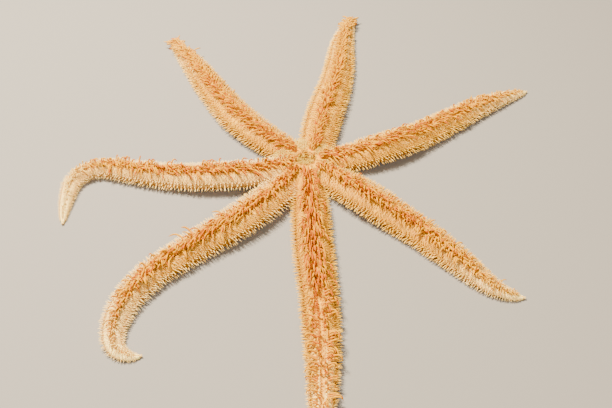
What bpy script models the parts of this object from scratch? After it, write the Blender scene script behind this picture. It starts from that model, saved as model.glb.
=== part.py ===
"""Still, life-size model of a seven-armed sea star lying on its back, mouth side up.

Metres, +Z up. The origin is on the floor under the mouth, +X to the right, +Y away from the viewer.
Every arm follows a course of headings, and its sections stand upright across that course.
"""
import math
import random

import bmesh
import bpy
import numpy as np
from mathutils import Matrix, Vector

MM = 0.001
GAP = 0.3 * MM
"""Space between two nodes that touch."""

DISC_RADIUS = 31 * MM
DISC_HEIGHT = 12.4 * MM
CORNER_RADIUS = 33 * MM
"""From the mouth to the corner where the disc and two arms meet."""

WELL_APOTHEM = 9 * MM
WELL_FLOOR = 6 * MM
MEMBRANE_TOP = 7.7 * MM
MEMBRANE_RADIUS = 8.6 * MM
JAW_TOP = 12.6 * MM
JAW_INNER_RADIUS = 4.2 * MM
JAW_OUTER_HALF_WIDTH = 2.6 * MM
JAW_INNER_HALF_WIDTH = 0.9 * MM

BODY = (
    (0.00, 13.0, 12.4),
    (0.12, 13.6, 12.8),
    (0.22, 15.0, 13.4),
    (0.36, 15.0, 13.4),
    (0.50, 13.4, 12.6),
    (0.65, 11.4, 11.0),
    (0.80, 9.2, 9.0),
    (0.90, 6.8, 6.8),
    (0.97, 4.2, 4.4),
    (1.00, 1.7, 2.6),
)
"""Share of an arm's length, half width of its body in mm, height of its lips in mm."""

GROOVE_DEPTH = 0.26
"""Depth of the groove between the lips, as a share of the arm's height."""

LIP = 0.26
FLANK = ((LIP, 1.0), (0.62, 0.90), (0.90, 0.66), (1.0, 0.42), (0.88, 0.15), (0.50, 0.0))
"""One side of a section from lip to floor: shares of half width and height."""

SPINE_SPACING = 8.6 * MM
"""Along one side of an arm. Spines take turns in two rows, at the arm's widest and above it."""

SPINE_LENGTH = 4.8 * MM
SPINE_THICKNESS = 1.5 * MM
"""At the root, below the surface. The spine tapers to a point."""

SPINE_ROOT = 1.7 * MM
SPINE_ROWS = ((0.97, 0.44, -4), (0.90, 0.64, 24))
"""Shares of half width and height where a row stands, and its rise in degrees."""

FOOT_SPACING = 16.5 * MM
FOOT_THICKNESS = 1.9 * MM
FOOT_ROOT = 1.6 * MM
FOOT_ROW = 1.8 * MM
"""From the middle of the groove to a row of tube feet."""

FOOT_RISE = (3.4 * MM, 6.2 * MM)
FOOT_SPREAD = (2.0 * MM, 5.6 * MM)
FOOT_LEAN = 3.2 * MM
FIRST_FOOT = 14 * MM
"""From the mouth, along an arm."""

CUT_CLEARANCE = 1.2 * MM
"""Least space along the arm between a foot or spine and the face where its node ends."""

SEED = 7

ARCH_SPAN = (0.09, 0.50)
"""Shares of an arm between which it may arch off the floor."""

SECTION_SPACING = 17 * MM
TIP_SECTION_SPACING = 9 * MM
EYE_PLATE_RADIUS = 1.4 * MM
EYE_PLATE_LENGTH = 1.6 * MM

DISC_EDGE = 27 * MM
"""From the mouth to the nearest edge of the disc, along an arm."""

CORNER_AIM = 45 * MM
"""Distance along the arms at which the direction of the space between them is taken."""

WEDGE_REACH = (62 * MM, 95 * MM, 180 * MM)
"""Distances along the arms at which the line between two of them is drawn."""

CUT_BOTTOM = -10 * MM
CUT_TOP = 40 * MM
"""Heights between which a cutter reaches, past the body on both sides."""

LAST_SPINE = 3 * MM
LAST_FOOT = 9 * MM
"""Least distances from an arm's tip."""

JAW_DROP = 1.8 * MM
"""How much lower a jaw's inner end stands than its back."""

JAW_SPINE_SUNK = 0.9 * MM
JAW_SPINE_THICKNESS = 1.0 * MM
JAW_SPINES = ((-1, 1.9, 0.9), (0, 2.6, 0.25), (1, 1.9, 0.9))
"""Side, length in mm and rise of each spine on a jaw's inner end."""

JAW_SPINE_SPREAD = 0.45
JAW_SPINE_ROOT = (0.6 * MM, 0.5 * MM, 2.4 * MM)
"""Behind the inner end, to the side and below the top."""

SHORT_PARTING = (("base", 0.40), ("middle", 0.70), ("tip", 1.0))
HOOK_PARTING = (("base", 0.40), ("middle", 0.62), ("outer", 0.80), ("bend", 0.90), ("tip", 1.0))
ELBOW_PARTING = (("base", 0.40), ("middle", 0.64), ("outer", 0.74), ("bend", 0.84), ("tip", 1.0))

ARMS = {
    "east": {
        "length": 256 * MM,
        "course": ((0, 9), (0.15, 12.5), (0.4, 35.5), (0.7, 37.5), (1, 24)),
        "girth": (1.0, 1.0),
        "arch": 4.0 * MM,
        "parting": SHORT_PARTING,
    },
    "north": {
        "length": 263 * MM,
        "course": ((0, 64), (0.15, 81), (0.4, 76), (0.7, 86), (1, 72)),
        "girth": (1.0, 1.05),
        "arch": 1.0 * MM,
        "parting": SHORT_PARTING,
    },
    "northwest": {
        "length": 258 * MM,
        "course": ((0, 128.5), (0.15, 142.5), (0.4, 121), (0.7, 116), (1, 123.5)),
        "girth": (0.96, 1.1),
        "arch": 2.0 * MM,
        "parting": SHORT_PARTING,
    },
    "west": {
        "length": 271 * MM,
        "course": ((0, 196), (0.15, 199), (0.4, 173), (0.65, 164), (0.74, 205), (0.84, 267), (1, 277)),
        "girth": (1.0, 0.78),
        "arch": 3.0 * MM,
        "parting": ELBOW_PARTING,
    },
    "southwest": {
        "length": 285 * MM,
        "course": ((0, 241), (0.15, 237), (0.4, 217), (0.62, 224.5), (0.8, 254.5), (0.9, 281), (1, 377)),
        "girth": (1.0, 1.05),
        "arch": 3.0 * MM,
        "parting": HOOK_PARTING,
    },
    "south": {
        "length": 305 * MM,
        "course": ((0, 279), (0.15, 271), (0.45, 275), (0.75, 270), (1, 262)),
        "girth": (0.90, 1.02),
        "arch": 0.0 * MM,
        "parting": SHORT_PARTING,
    },
    "southeast": {
        "length": 235 * MM,
        "course": ((0, 324), (0.15, 314), (0.4, 320), (0.65, 311), (0.85, 309), (1, 352)),
        "girth": (1.02, 1.05),
        "arch": 3.5 * MM,
        "parting": SHORT_PARTING,
    },
}
"""The seven arms, counter-clockwise from above: course as (share of length, heading in degrees from +X)."""

NAMES = tuple(ARMS)
COURSE_SAMPLES = 240

COLOURS = {
    "disc": (0.86, 0.60, 0.33),
    "mouth": (0.55, 0.36, 0.20),
    "jaw": (0.88, 0.74, 0.48),
    "arm": (0.88, 0.56, 0.28),
    "eye_plate": (0.90, 0.78, 0.55),
}
ROUGHNESS = 0.55


def clear_scene():
    for obj in list(bpy.data.objects):
        bpy.data.objects.remove(obj, do_unlink=True)


def new_collection(name):
    collection = bpy.data.collections.new(name)
    bpy.context.scene.collection.children.link(collection)
    return collection


def material(kind):
    made = bpy.data.materials.new(kind)
    made.use_nodes = True
    shader = made.node_tree.nodes["Principled BSDF"]
    shader.inputs["Base Color"].default_value = (*COLOURS[kind], 1)
    shader.inputs["Roughness"].default_value = ROUGHNESS
    shader.inputs["Metallic"].default_value = 0
    return made


def object_from(bm, name, collection):
    mesh = bpy.data.meshes.new(name)
    bmesh.ops.recalc_face_normals(bm, faces=bm.faces)
    bm.to_mesh(mesh)
    bm.free()
    obj = bpy.data.objects.new(name, mesh)
    collection.objects.link(obj)
    return obj


def evaluated_mesh(obj):
    bpy.context.view_layer.update()
    return bpy.data.meshes.new_from_object(obj.evaluated_get(bpy.context.evaluated_depsgraph_get()))


def apply_modifiers(obj):
    mesh = evaluated_mesh(obj)
    obj.modifiers.clear()
    obj.data = mesh


def keep_largest(obj):
    """Drops loose scraps and sealed hollows that a union or a cut leaves."""
    bm = bmesh.new()
    bm.from_mesh(obj.data)
    bm.faces.ensure_lookup_table()
    left = set(bm.faces)
    shells = []
    while left:
        shell, edge_of_shell = set(), [left.pop()]
        while edge_of_shell:
            face = edge_of_shell.pop()
            shell.add(face)
            near = {other for edge in face.edges for other in edge.link_faces} & left
            left -= near
            edge_of_shell.extend(near)
        shells.append(shell)
    shells.sort(key=len)
    loose = [face for shell in shells[:-1] for face in shell]
    bmesh.ops.delete(bm, geom=loose, context="FACES")
    bm.to_mesh(obj.data)
    bm.free()


def boolean(obj, pieces, operation):
    """Joins the closed mesh objects in pieces to obj, or cuts obj by them, and removes them."""
    operands = new_collection("operands")
    for piece in pieces:
        for holder in list(piece.users_collection):
            holder.objects.unlink(piece)
        operands.objects.link(piece)
    modifier = obj.modifiers.new(operation.title(), "BOOLEAN")
    modifier.operation = operation
    modifier.operand_type = "COLLECTION"
    modifier.collection = operands
    modifier.solver = "EXACT"
    apply_modifiers(obj)
    keep_largest(obj)
    for piece in pieces:
        bpy.data.objects.remove(piece, do_unlink=True)
    bpy.data.collections.remove(operands)


def course_of(arm):
    """Points and headings along an arm, from its headings at shares of its length."""
    shares = np.linspace(0, 1, COURSE_SAMPLES)
    knots, degrees = zip(*arm["course"])
    headings = np.radians(np.interp(shares, knots, degrees))
    middle = (headings[1:] + headings[:-1]) / 2
    step = arm["length"] / (COURSE_SAMPLES - 1)
    x = np.concatenate([[0], np.cumsum(np.cos(middle))]) * step
    y = np.concatenate([[0], np.cumsum(np.sin(middle))]) * step
    return shares, x, y, headings


COURSES = {name: course_of(arm) for name, arm in ARMS.items()}


def arch_at(name, share):
    """How high the arm's underside stands off the floor."""
    start, end = ARCH_SPAN
    through = min(max((share - start) / (end - start), 0), 1)
    return ARMS[name]["arch"] * math.sin(math.pi * through) ** 2


def place(name, share, across=0.0, height=0.0):
    """World point at a share of an arm's length, a distance to its left and a height over the floor."""
    shares, x, y, headings = COURSES[name]
    heading = np.interp(share, shares, headings)
    return Vector((
        np.interp(share, shares, x) - across * math.sin(heading),
        np.interp(share, shares, y) + across * math.cos(heading),
        height + arch_at(name, share),
    ))


def heading_at(name, share):
    shares, _, _, headings = COURSES[name]
    return float(np.interp(share, shares, headings))


def body_at(name, share):
    """Half width and height of the body there."""
    knots, widths, heights = zip(*BODY)
    root, end = ARMS[name]["girth"]
    girth = root + (end - root) * share
    return (
        float(np.interp(share, knots, widths)) * MM * girth,
        float(np.interp(share, knots, heights)) * MM,
    )


def section(name, share):
    """Ring of points across the arm, from the bottom of its groove down its left side and up its right."""
    half, high = body_at(name, share)
    left = [(across * half, height * high) for across, height in FLANK]
    ring = [(0, (1 - GROOVE_DEPTH) * high)] + left + [(-across, height) for across, height in reversed(left)]
    return [place(name, share, across, height) for across, height in ring]


def section_shares(name, start, end, spacing):
    length = ARMS[name]["length"]
    count = max(1, round((end - start) * length / spacing))
    return [start + (end - start) * step / count for step in range(count + 1)]


def loft(name, rings, collection):
    """Closed body through rings of equally many points."""
    bm = bmesh.new()
    layers = [[bm.verts.new(point) for point in ring] for ring in rings]
    size = len(layers[0])
    for near, far in zip(layers, layers[1:]):
        for step in range(size):
            after = (step + 1) % size
            bm.faces.new((near[step], near[after], far[after], far[step]))
    bm.faces.new(layers[0])
    bm.faces.new(layers[-1])
    return object_from(bm, name, collection)


def arm_length(name, part, start, end, collection):
    spacing = TIP_SECTION_SPACING if part == "tip" else SECTION_SPACING
    shares = section_shares(name, start, end, spacing)
    return loft(f"arm_{name}_{part}", [section(name, share) for share in shares], collection)


def add_spine(bm, root, direction, length, sunk, thickness):
    """Tapered spine whose root lies a depth below the point that it stands on."""
    cone = bmesh.ops.create_cone(
        bm, cap_ends=True, segments=4, radius1=thickness / 2, radius2=0, depth=length + sunk
    )
    turn = Vector((0, 0, 1)).rotation_difference(direction).to_matrix().to_4x4()
    middle = root + direction * ((length - sunk) / 2)
    bmesh.ops.transform(bm, matrix=Matrix.Translation(middle) @ turn, verts=cone["verts"])


def clear_of_others(name, point):
    """True where no other arm, with its own spines, reaches the point."""
    for other in NAMES:
        if other == name:
            continue
        shares, x, y, _ = COURSES[other]
        away = np.hypot(x - point.x, y - point.y)
        nearest = int(np.argmin(away))
        half, _ = body_at(other, shares[nearest])
        if away[nearest] < half + SPINE_LENGTH + MM:
            return False
    return True


def spines(name, start, end, draw, collection):
    """Fringe of both sides between two shares of an arm, as closed cones in one object."""
    bm = bmesh.new()
    length = ARMS[name]["length"]
    margin = (CUT_CLEARANCE + SPINE_THICKNESS) / length
    last = min(end, 1 - LAST_SPINE / length)
    count = int((last - start - 2 * margin) * length / SPINE_SPACING)
    for side in (1, -1):
        for step in range(count + 1):
            share = start + margin + (last - start - 2 * margin) * (step + 0.25 + side * 0.25) / (count + 0.5)
            across, height, rise = SPINE_ROWS[step % 2]
            half, high = body_at(name, share)
            reach = min(SPINE_LENGTH, 0.40 * half + 0.8 * MM) * draw.uniform(0.85, 1.1)
            rise = math.radians(rise + draw.uniform(-5, 7))
            lean = math.radians(draw.uniform(-6, 14))
            root = place(name, share, side * across * half, height * high)
            facing = heading_at(name, share) + side * (math.pi / 2 - lean)
            direction = Vector((
                math.cos(facing) * math.cos(rise), math.sin(facing) * math.cos(rise), math.sin(rise)
            ))
            if not clear_of_others(name, root + direction * reach):
                continue
            sunk = min(SPINE_ROOT, 0.35 * half)
            thickness = min(SPINE_THICKNESS, 0.35 * high)
            add_spine(bm, root, direction, reach, sunk, thickness)
    return object_from(bm, "spines", collection)


def tube_feet(name, start, end, draw, collection):
    """Two rows of tube feet between two shares of an arm, each a tapered tube that bends outwards."""
    curve = bpy.data.curves.new("tube_feet", "CURVE")
    curve.dimensions = "3D"
    curve.bevel_depth = FOOT_THICKNESS / 2
    curve.bevel_resolution = 0
    curve.use_fill_caps = True
    length = ARMS[name]["length"]
    first = max(start + (CUT_CLEARANCE + FOOT_LEAN) / length, FIRST_FOOT / length)
    last = min(end - (CUT_CLEARANCE + FOOT_LEAN) / length, 1 - LAST_FOOT / length)
    count = int((last - first) * length / FOOT_SPACING + 0.4)
    for side in (1, -1):
        for step in range(count + 1):
            share = first + (last - first) * (step + 0.25 + side * 0.25) / (count + 0.5)
            half, high = body_at(name, share)
            size = min(1, half / (10 * MM))
            row = FOOT_ROW * size
            wall = (1 - GROOVE_DEPTH * (1 - row / (LIP * half))) * high
            rise = draw.uniform(*FOOT_RISE) * size
            spread = draw.uniform(*FOOT_SPREAD) * size
            if share * length < CORNER_RADIUS:
                spread = FOOT_SPREAD[0] * 0.6
            lean = draw.uniform(-0.5, 1) * FOOT_LEAN * size / length
            drop = draw.uniform(0.45, 1.15)
            stations = (
                (0.0, row, wall - FOOT_ROOT * size, 1.0),
                (0.35, row * 1.2 + 0.3 * spread, high + rise, 0.88),
                (1.0, row * 1.2 + spread, high + rise * drop, 0.45),
            )
            spline = curve.splines.new("POLY")
            spline.points.add(len(stations) - 1)
            for point, (along, across, height, radius) in zip(spline.points, stations):
                point.co = (*place(name, share + lean * along, side * across, height), 1)
                point.radius = radius * size
    obj = bpy.data.objects.new("tube_feet", curve)
    collection.objects.link(obj)
    mesh = evaluated_mesh(obj)
    bm = bmesh.new()
    bm.from_mesh(mesh)
    bmesh.ops.remove_doubles(bm, verts=bm.verts, dist=0.01 * MM)
    bpy.data.objects.remove(obj, do_unlink=True)
    return object_from(bm, "tube_feet_mesh", collection)


def prism(name, outline, low, high, collection):
    bm = bmesh.new()
    base = bm.faces.new([bm.verts.new((x, y, low)) for x, y in outline])
    raised = bmesh.ops.extrude_face_region(bm, geom=[base])["geom"]
    top = [item for item in raised if isinstance(item, bmesh.types.BMVert)]
    bmesh.ops.translate(bm, verts=top, vec=(0, 0, high - low))
    return object_from(bm, name, collection)


def turned(name, profile, steps, collection):
    """Body turned about the vertical axis from a profile that runs from top to bottom."""
    bm = bmesh.new()
    verts = [bm.verts.new((radius, 0, height)) for radius, height in profile]
    for upper, lower in zip(verts, verts[1:]):
        bm.edges.new((upper, lower))
    mesh = bpy.data.meshes.new(name)
    bm.to_mesh(mesh)
    bm.free()
    obj = bpy.data.objects.new(name, mesh)
    collection.objects.link(obj)
    screw = obj.modifiers.new("Screw", "SCREW")
    screw.steps = steps
    screw.render_steps = steps
    screw.use_merge_vertices = True
    screw.merge_threshold = 0.01 * MM
    apply_modifiers(obj)
    bm = bmesh.new()
    bm.from_mesh(obj.data)
    bmesh.ops.remove_doubles(bm, verts=bm.verts, dist=0.01 * MM)
    bmesh.ops.recalc_face_normals(bm, faces=bm.faces)
    bm.to_mesh(obj.data)
    bm.free()
    return obj


def inset(outline, distance):
    """A counter-clockwise outline drawn in by a distance all round."""
    count = len(outline)
    points = [Vector(point) for point in outline]
    drawn = []
    for here in range(count):
        into = (points[here] - points[here - 1]).normalized()
        out = (points[(here + 1) % count] - points[here]).normalized()
        first, second = Vector((-into.y, into.x)), Vector((-out.y, out.x))
        drawn.append(points[here] + (first + second) * (distance / (1 + first.dot(second))))
    return [(point.x, point.y) for point in drawn]


def between(left, right, distance):
    """Point half way between two arms, at a distance along both."""
    ends = [place(name, distance / ARMS[name]["length"]) for name in (left, right)]
    middle = (ends[0] + ends[1]) / 2
    return Vector((middle.x, middle.y))


def corner_angles():
    """Direction of the space that follows each arm counter-clockwise."""
    angles = []
    for here, name in enumerate(NAMES):
        middle = between(name, NAMES[(here + 1) % len(NAMES)], CORNER_AIM)
        angles.append(math.atan2(middle.y, middle.x))
    return angles


CORNERS = corner_angles()


def on_circle(angle, radius):
    return radius * math.cos(angle), radius * math.sin(angle)


def disc_outline():
    return inset([on_circle(angle, CORNER_RADIUS) for angle in CORNERS], GAP / 2)


def wedge_outline(index):
    """Outline of the room that one arm has beside the disc and between its neighbours."""
    before, name, after = NAMES[index - 1], NAMES[index], NAMES[(index + 1) % len(NAMES)]
    right = [on_circle(CORNERS[index - 1], CORNER_RADIUS)]
    right += [tuple(between(before, name, reach)) for reach in WEDGE_REACH]
    left = [on_circle(CORNERS[index], CORNER_RADIUS)]
    left += [tuple(between(name, after, reach)) for reach in WEDGE_REACH]
    return inset(right + left[::-1], GAP / 2)


def facing_outline(angles, apothem):
    """Polygon with one flat facing each angle, all at one distance from the middle."""
    points = []
    for here, angle in enumerate(angles):
        before = angles[here - 1]
        half = ((angle - before) % (2 * math.pi)) / 2
        points.append(on_circle(before + half, apothem / math.cos(half)))
    return points


def hub(collection):
    profile = (
        (0, DISC_HEIGHT),
        (0.72 * DISC_RADIUS, DISC_HEIGHT),
        (0.92 * DISC_RADIUS, 0.78 * DISC_HEIGHT),
        (DISC_RADIUS, 0.45 * DISC_HEIGHT),
        (0.92 * DISC_RADIUS, 0.15 * DISC_HEIGHT),
        (0.72 * DISC_RADIUS, 0),
        (0, 0),
    )
    return turned("hub", profile, 21, collection)


def whole_core(collection):
    """The disc and the first length of every arm as one body, before it is parted."""
    core = hub(collection)
    stubs = []
    for name, arm in ARMS.items():
        end = arm["parting"][0][1] - GAP / 2 / arm["length"]
        stubs.append(arm_length(name, "stub", 0, end, collection))
    boolean(core, stubs, "UNION")
    return core


def parted(core, name, outline, collection):
    """A copy of the core cut to an outline."""
    piece = bpy.data.objects.new(name, core.data.copy())
    collection.objects.link(piece)
    cutter = prism("room", outline, CUT_BOTTOM, CUT_TOP, collection)
    boolean(piece, [cutter], "INTERSECT")
    return piece


def jaw(index, collection):
    """Wedge between two arms that points into the mouth, its back against the well's wall."""
    outer = WELL_APOTHEM - GAP
    bottom = MEMBRANE_TOP + GAP
    outline = (
        (JAW_INNER_RADIUS, -JAW_INNER_HALF_WIDTH),
        (outer, -JAW_OUTER_HALF_WIDTH),
        (outer, JAW_OUTER_HALF_WIDTH),
        (JAW_INNER_RADIUS, JAW_INNER_HALF_WIDTH),
    )
    obj = prism(f"jaw_{index + 1}", outline, bottom, JAW_TOP, collection)
    for vertex in obj.data.vertices:
        if vertex.co.z > bottom + MM and vertex.co.x < outer - MM:
            vertex.co.z -= JAW_DROP
    bm = bmesh.new()
    behind, beside, below = JAW_SPINE_ROOT
    for side, reach, rise in JAW_SPINES:
        root = Vector((JAW_INNER_RADIUS + behind, side * beside, JAW_TOP - below))
        direction = Vector((-1, side * JAW_SPINE_SPREAD, rise)).normalized()
        add_spine(bm, root, direction, reach * MM, JAW_SPINE_SUNK, JAW_SPINE_THICKNESS)
    boolean(obj, [object_from(bm, "jaw_spines", collection)], "UNION")
    obj.rotation_euler = (0, 0, CORNERS[index])
    return obj


def membrane(collection):
    bottom = WELL_FLOOR + GAP
    profile = (
        (0, MEMBRANE_TOP - 0.9 * MM),
        (1.4 * MM, MEMBRANE_TOP - 0.8 * MM),
        (2.8 * MM, MEMBRANE_TOP),
        (5.5 * MM, MEMBRANE_TOP - 0.1 * MM),
        (MEMBRANE_RADIUS, MEMBRANE_TOP - 0.5 * MM),
        (MEMBRANE_RADIUS, bottom),
        (0, bottom),
    )
    return turned("mouth", profile, 18, collection)


def eye_plate(name, collection):
    """Small plate at the very tip of an arm, its back against the last section."""
    bm = bmesh.new()
    bmesh.ops.create_cone(
        bm, cap_ends=True, segments=10, radius1=EYE_PLATE_RADIUS,
        radius2=EYE_PLATE_RADIUS * 0.55, depth=EYE_PLATE_LENGTH,
    )
    obj = object_from(bm, f"eye_plate_{name}", collection)
    heading = heading_at(name, 1)
    spot = place(name, 1, 0, EYE_PLATE_RADIUS + 0.1 * MM)
    ahead = Vector((math.cos(heading), math.sin(heading), 0))
    spot += ahead * (GAP + EYE_PLATE_LENGTH / 2)
    turn = Matrix.Rotation(heading, 4, "Z") @ Matrix.Rotation(math.pi / 2, 4, "Y")
    obj.matrix_world = Matrix.Translation(spot) @ turn
    return obj


def main():
    clear_scene()
    star = new_collection("sea_star")
    workshop = new_collection("workshop")
    finishes = {kind: material(kind) for kind in COLOURS}

    draw = random.Random(SEED)
    core = whole_core(workshop)
    nodes = []

    disc = parted(core, "disc", disc_outline(), star)
    well = prism("well", facing_outline(CORNERS, WELL_APOTHEM), WELL_FLOOR, CUT_TOP, workshop)
    boolean(disc, [well], "DIFFERENCE")
    disc_feet = []
    for name, arm in ARMS.items():
        disc_feet.append(tube_feet(name, 0, DISC_EDGE / arm["length"], draw, workshop))
    boolean(disc, disc_feet, "UNION")
    nodes.append((disc, "disc"))
    nodes.append((membrane(star), "mouth"))
    nodes += [(jaw(index, star), "jaw") for index in range(len(NAMES))]

    for index, (name, arm) in enumerate(ARMS.items()):
        half_gap = GAP / 2 / arm["length"]
        start = CORNER_RADIUS / arm["length"]
        for part, end in arm["parting"]:
            stop = end if part == "tip" else end - half_gap
            if part == "base":
                node = parted(core, f"arm_{name}_base", wedge_outline(index), star)
            else:
                node = arm_length(name, part, start, stop, star)
            growths = [
                tube_feet(name, start, stop, draw, workshop), spines(name, start, stop, draw, workshop)
            ]
            boolean(node, growths, "UNION")
            nodes.append((node, "arm"))
            start = end + half_gap
        nodes.append((eye_plate(name, star), "eye_plate"))
    bpy.data.objects.remove(core, do_unlink=True)

    for obj, kind in nodes:
        obj.data.materials.clear()
        obj.data.materials.append(finishes[kind])
        obj.data.shade_smooth()
        obj.data.set_sharp_from_angle(angle=math.radians(40))


main()
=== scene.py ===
import math

import bpy
import numpy as np
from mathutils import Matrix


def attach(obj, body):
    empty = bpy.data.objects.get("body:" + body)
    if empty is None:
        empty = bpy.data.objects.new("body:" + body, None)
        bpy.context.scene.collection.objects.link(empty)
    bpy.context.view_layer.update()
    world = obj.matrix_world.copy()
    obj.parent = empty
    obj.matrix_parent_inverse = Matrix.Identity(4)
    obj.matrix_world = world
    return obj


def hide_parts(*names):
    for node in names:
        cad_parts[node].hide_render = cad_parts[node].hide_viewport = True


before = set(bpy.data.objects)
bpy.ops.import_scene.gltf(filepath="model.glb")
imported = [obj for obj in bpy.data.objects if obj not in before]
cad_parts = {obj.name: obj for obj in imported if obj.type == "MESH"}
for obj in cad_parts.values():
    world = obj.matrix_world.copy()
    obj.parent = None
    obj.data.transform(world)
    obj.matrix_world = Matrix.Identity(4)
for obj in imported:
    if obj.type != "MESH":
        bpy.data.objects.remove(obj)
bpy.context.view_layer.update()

MM = 0.001
SEED = 11
TINY = 1e-12
UP = np.array([0.0, 0.0, 1.0])

# What several arms have in common: how their bands start, and their feet's shade and sweep
NARROW_BAND = ((0, -2.2, 5.5), (0.25, -4, 6), (0.6, -4, 6))
WIDE_BAND = ((0, -2.2, 5.5), (0.25, -4.5, 7.5), (0.55, -4.5, 9))
USUAL_FEET = dict(shade=(0.3, 1.0), sweep=0.4)

# The arms, named by where they point. Length, girth, arch and course repeat the part's source. The
# rows of a table start with a share of the arm's length, 0 at the mouth and 1 at the tip.
#   length  from mouth to tip, in m
#   girth   width at root and tip, as a share of the body's
#   arch    height of the raised stretch off the floor, in m
#   course  heading in degrees
#   flow    how far along the arm the tube feet lean, in mm
#   band    how far to the side of their roots the feet's tips lie, least and most, in mm
#   open    how far the groove has opened, with its feet apart, 0 to 1
#   vivid   how many feet have orange tips, times TIPPED_SHARE
#   shade   paleness of the feet, least and most
#   sweep   how soon the feet turn sideways, 0 to 1
#   pale    added to the paleness of the spines, followed by skin and small feet; above 0 it paints light on the flanks
#   fan     least size of the feet, near the tip
ARMS = {
    "east": dict(
        length=0.256, girth=(1.0, 1.0), arch=0.004,
        course=((0, 9), (0.15, 12.5), (0.4, 35.5), (0.7, 37.5), (1, 24)),
        flow=((0, 5), (0.35, 5), (0.6, 2), (1, 2)), band=(*NARROW_BAND, (1, -1.5, 6.5)),
        open=((0, 0), (1, 0.3)), vivid=((0, 1), (0.55, 1), (0.95, 0.6)),
        **USUAL_FEET, pale=-0.25, fan=0.3,
    ),
    "north": dict(
        length=0.263, girth=(1.0, 1.05), arch=0.001,
        course=((0, 64), (0.15, 81), (0.4, 76), (0.7, 86), (1, 72)),
        flow=((0, 5), (0.4, 4), (0.7, 2), (1, 3)), band=(*WIDE_BAND, (1, -3, 13)),
        open=((0, 0), (1, 0)), vivid=((0, 1), (0.35, 0.9), (0.65, 0.15), (1, 0.08)),
        **USUAL_FEET, pale=-0.35, fan=0.9,
    ),
    "northwest": dict(
        length=0.258, girth=(0.96, 1.1), arch=0.002,
        course=((0, 128.5), (0.15, 142.5), (0.4, 121), (0.7, 116), (1, 123.5)),
        flow=((0, 4), (0.4, 4), (0.7, 3), (1, 4)), band=(*WIDE_BAND, (1, -3, 12)),
        open=((0, 0), (1, 0)), vivid=((0, 1), (0.45, 1), (0.75, 0.45), (1, 0.4)),
        **USUAL_FEET, pale=-0.3, fan=0.9,
    ),
    "west": dict(
        length=0.271, girth=(1.0, 0.78), arch=0.003,
        course=((0, 196), (0.15, 199), (0.4, 173), (0.65, 164), (0.74, 205), (0.84, 267), (1, 277)),
        flow=((0, -2), (0.3, -5), (0.7, -4), (1, -1)), band=(*NARROW_BAND, (1, -1.5, 6)),
        open=((0, 0), (1, 0.2)), vivid=((0, 1), (0.5, 1), (0.72, 0.3), (1, 0.1)),
        **USUAL_FEET, pale=0.4, fan=0.28,
    ),
    "southwest": dict(
        length=0.285, girth=(1.0, 1.05), arch=0.003,
        course=((0, 241), (0.15, 237), (0.4, 217), (0.62, 224.5), (0.8, 254.5), (0.9, 281), (1, 377)),
        flow=((0, 6), (0.4, 7), (0.65, 5), (1, 2)), band=(*NARROW_BAND, (1, -1.5, 7)),
        open=((0, 0), (1, 0.2)), vivid=((0, 1), (0.55, 1), (0.85, 0.8), (1, 0.2)),
        **USUAL_FEET, pale=0.0, fan=0.3,
    ),
    "south": dict(
        length=0.305, girth=(0.90, 1.02), arch=0.0,
        course=((0, 279), (0.15, 271), (0.45, 275), (0.75, 270), (1, 262)),
        flow=((0, 10), (0.40, 12), (0.55, 5), (1, 2)),
        band=(
            (0, -4, 7), (0.15, -5, 12), (0.38, -5, 12), (0.48, -2.5, 12), (0.6, -1.5, 13), (0.85, -1, 14),
            (1, 0, 10),
        ),
        open=((0, 0), (0.42, 0), (0.55, 0.7), (1, 0.7)), vivid=((0, 1.4), (0.48, 1.4), (0.62, 0.9), (1, 0.7)),
        shade=(0.1, 0.8), sweep=0.9, pale=-0.45, fan=0.5,
    ),
    "southeast": dict(
        length=0.235, girth=(1.02, 1.05), arch=0.0035,
        course=((0, 324), (0.15, 314), (0.4, 320), (0.65, 311), (0.85, 309), (1, 352)),
        flow=((0, 6), (0.4, 5), (1, 3)), band=(*NARROW_BAND, (1, -1.5, 7)),
        open=((0, 0), (1, 0.3)), vivid=((0, 1), (0.55, 0.9), (0.9, 0.2)),
        **USUAL_FEET, pale=-0.25, fan=0.3,
    ),
}
NAMES = tuple(ARMS)

# Share of an arm's length, half width of its body in mm, height of its lips in mm
BODY = (
    (0.00, 13.0, 12.4), (0.12, 13.6, 12.8), (0.22, 15.0, 13.4), (0.36, 15.0, 13.4), (0.50, 13.4, 12.6),
    (0.65, 11.4, 11.0), (0.80, 9.2, 9.0), (0.90, 6.8, 6.8), (0.97, 4.2, 4.4), (1.00, 1.7, 2.6),
)
WIDEST_BODY = (15.0, 13.4)
BODY_BLUR = 8
ARCH_SPAN = (0.09, 0.50)
COURSE_SAMPLES = 480

# Half a section from the groove's bottom over lip, shoulder and widest point to the middle of the
# underside: shares of half width and height
HALF_SECTION = (
    (0.0, 0.72), (0.12, 0.78), (0.22, 0.94), (0.33, 1.0), (0.62, 0.905), (0.89, 0.67), (0.99, 0.42),
    (0.89, 0.15), (0.56, 0.004), (0.28, 0.0), (0.0, 0.0),
)
CURVE_STEPS = 24
SLOPE_STEP = 0.004
BLOCK = 20000

# Plates along an arm, closer together towards its tip
PLATES = 104
PLATE_CROWDING = 0.82

# Half width of the body where feet and spines have their full size
FULL_SIZE_HALF = 11 * MM

# The disc's upper and lower sides from the middle outwards and back, as shares of its radius and height
HUB_RADIUS = 31 * MM
HUB_HEIGHT = 12.4 * MM
HUB_TOP = ((0.0, 1.0), (0.30, 1.0), (0.55, 1.0), (0.74, 0.975), (0.88, 0.86), (0.96, 0.68), (0.99, 0.45))
HUB_UNDER = ((0.95, 0.2), (0.84, 0.04), (0.70, 0.0), (0.4, 0.0))

# The mouth's well
WELL_RADIUS = 9.3 * MM
WELL_FLOOR, WELL_RIM, WELL_TOP = 6 * MM, 11 * MM, 40 * MM

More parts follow.
